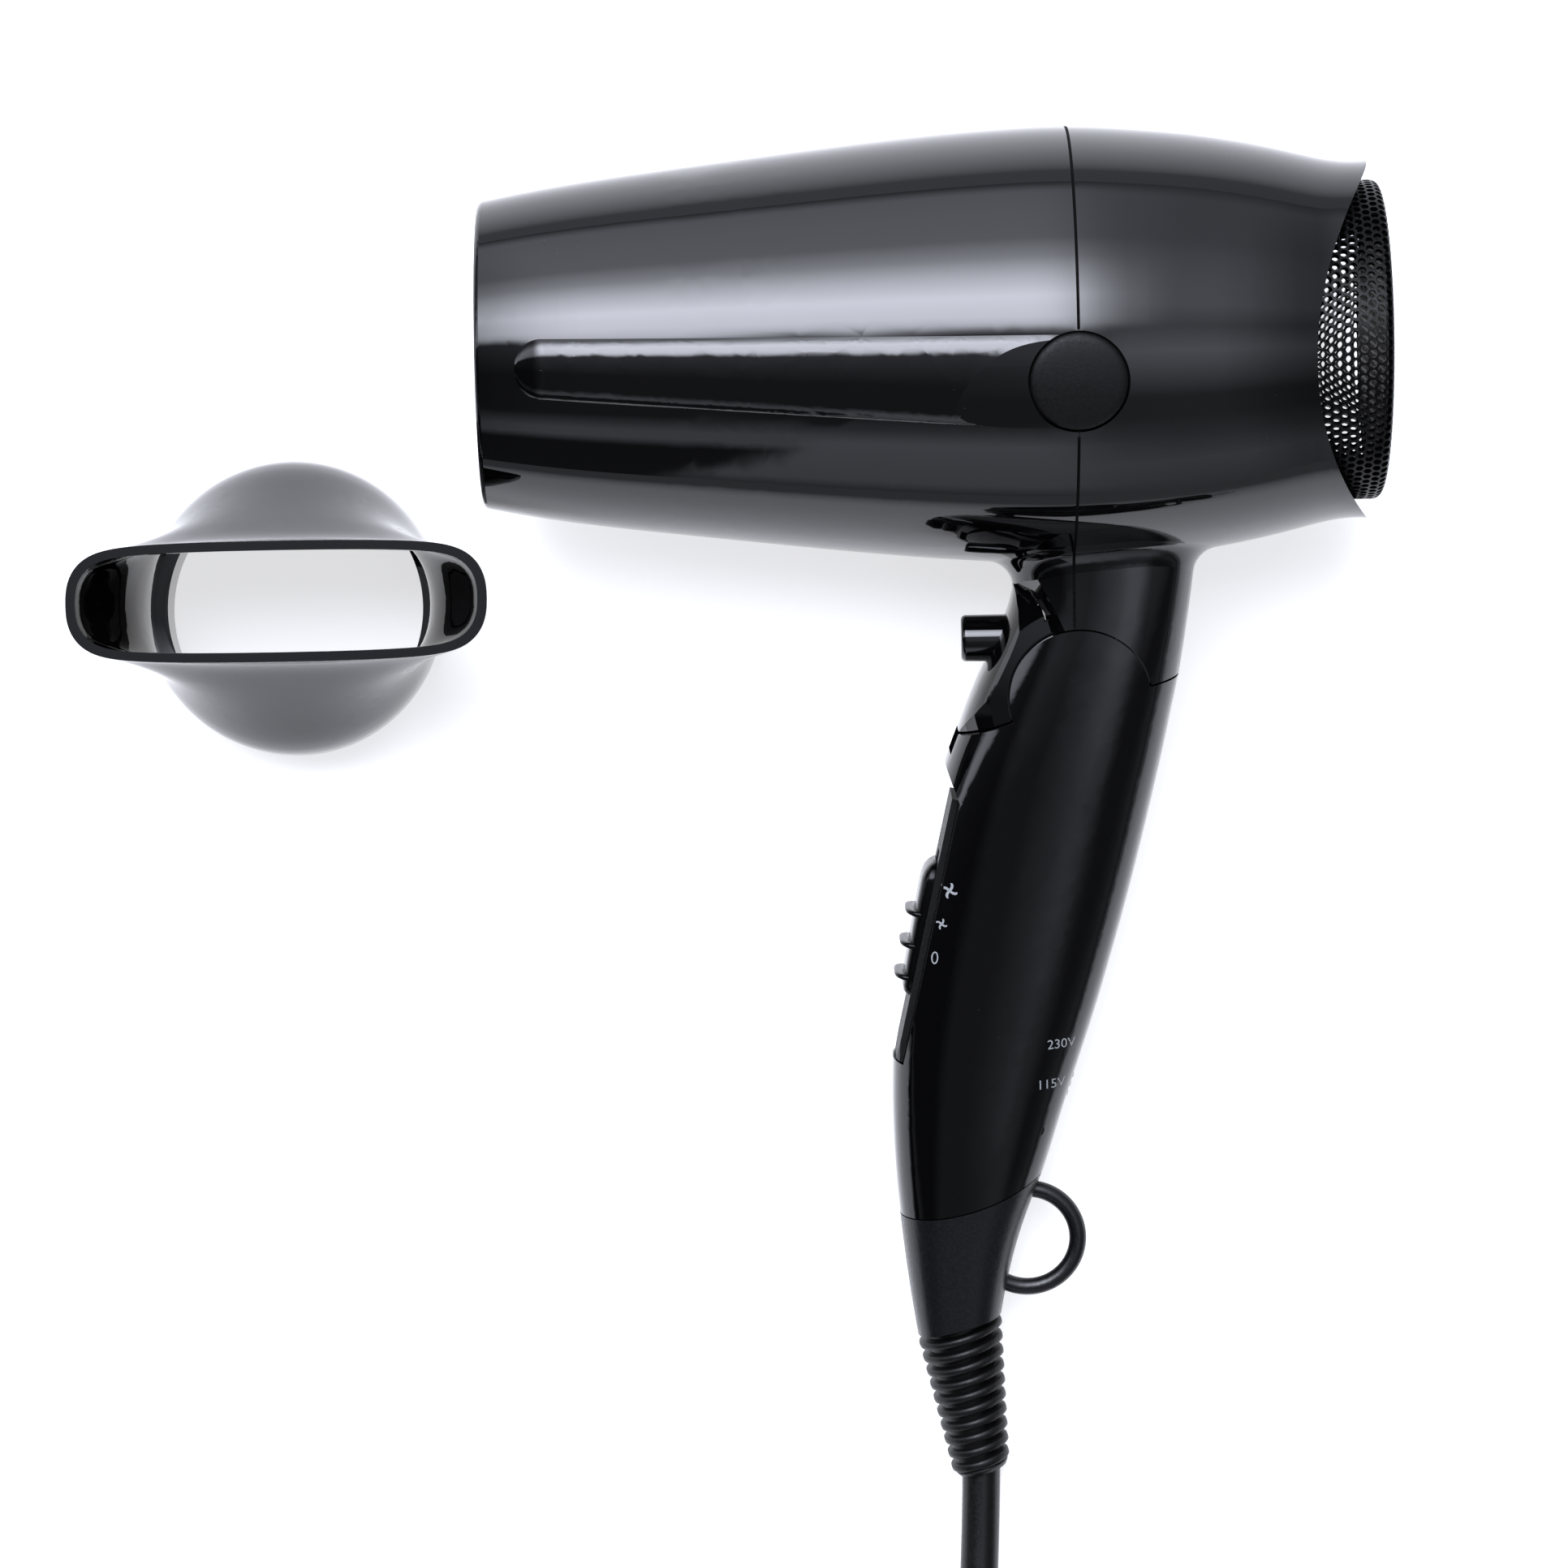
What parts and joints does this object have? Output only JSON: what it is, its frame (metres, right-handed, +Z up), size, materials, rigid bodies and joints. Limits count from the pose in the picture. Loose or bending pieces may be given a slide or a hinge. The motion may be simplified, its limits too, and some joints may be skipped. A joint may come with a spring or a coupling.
{
  "type": "folding travel hair dryer with concentrator nozzle",
  "caption": "Folding hand-held hair dryer lying on its side, with hinged grip, slide switch, corded strain relief and a detached slot nozzle.",
  "frame": {"origin": "centre of the whole part's footprint, on the surface that it lies on, leaving out the cord and what is on it", "axes": "+X along the barrel towards the air inlet, +Y from the handle towards the barrel, +Z up from the surface"},
  "size_m": [0.2929, 0.3716, 0.0782],
  "materials": {
    "gloss_black": "glossy moulded plastic",
    "matte_black": "matte moulded plastic",
    "satin_charcoal": "satin moulded plastic",
    "grille_black": "fine perforated plastic",
    "rubber_black": "soft PVC",
    "nozzle_black": "glossy moulded plastic",
    "steel": "plain metal",
    "mica": "mica sheet",
    "inner_plastic": "heat-resistant plastic"
  },
  "bodies": {
    "barrel": {"front_housing": "gloss_black", "rear_housing": "gloss_black", "side_cap_upper": "matte_black", "side_cap_lower": "matte_black", "housing_screws": "steel", "outlet_grille": "grille_black", "inlet_grille": "grille_black", "mica_sleeve": "mica", "mica_boards": "mica", "heater_windings": "steel", "heater_support": "inner_plastic", "thermostat": "steel", "thermal_fuse": "steel", "motor_can": "steel", "motor_mount": "inner_plastic", "rectifier_board": "inner_plastic", "hinge_bushing": "steel", "cool_shot_switch": "matte_black"},
    "fan": {"fan_impeller": "inner_plastic", "motor_shaft": "steel"},
    "cool_shot_button": {"cool_shot_button": "gloss_black"},
    "handle": {"handle_shell_upper": "gloss_black", "handle_shell_lower": "gloss_black", "hinge_pin": "steel", "hinge_washers": "steel", "handle_screws": "steel", "switch_plate": "matte_black", "switch_module": "matte_black", "voltage_module": "matte_black", "end_cap": "satin_charcoal", "cord_guard": "rubber_black", "capacitor": "inner_plastic", "cord_clamp": "inner_plastic", "cord_inner_end": "rubber_black", "handle_wires": "inner_plastic", "cord_lead": "rubber_black", "cord_coil": "rubber_black", "cord_tail": "rubber_black", "cord_tie": "rubber_black", "plug_body": "rubber_black", "plug_pins": "steel"},
    "power_slider": {"power_slider": "gloss_black"},
    "voltage_selector": {"voltage_selector": "matte_black"},
    "nozzle": {"nozzle_shell": "nozzle_black"}
  },
  "joints": [
    {"name": "handle_fold", "type": "hinge", "parent": "barrel", "child": "handle", "pos_m": [0.06236, 0.02199, 0.02896], "axis": [0, 0.1638, -0.9865], "range_deg": [0, 75]},
    {"name": "fan_spin", "type": "hinge", "parent": "barrel", "child": "fan", "pos_m": [0.07136, 0.08315, 0.03911], "axis": [1, 0, 0], "continuous": true},
    {"name": "cool_shot_press", "type": "slide", "parent": "barrel", "child": "cool_shot_button", "axis": [1, 0, 0], "range_m": [0, 0.0024], "stiffness_N_per_m": 600, "springref_m": -0.002},
    {"name": "power_slide", "type": "slide", "parent": "handle", "child": "power_slider", "axis": [0.2181, 0.9627, 0.1598], "range_m": [0, 0.0118]},
    {"name": "voltage_select", "type": "slide", "parent": "handle", "child": "voltage_selector", "axis": [0.3162, 0.9359, 0.1554], "range_m": [0, 0.004]},
    {"name": "nozzle_lift", "type": "slide", "parent": "barrel", "child": "nozzle", "axis": [0, 0, 1], "range_m": [0, 0.09]}
  ]
}
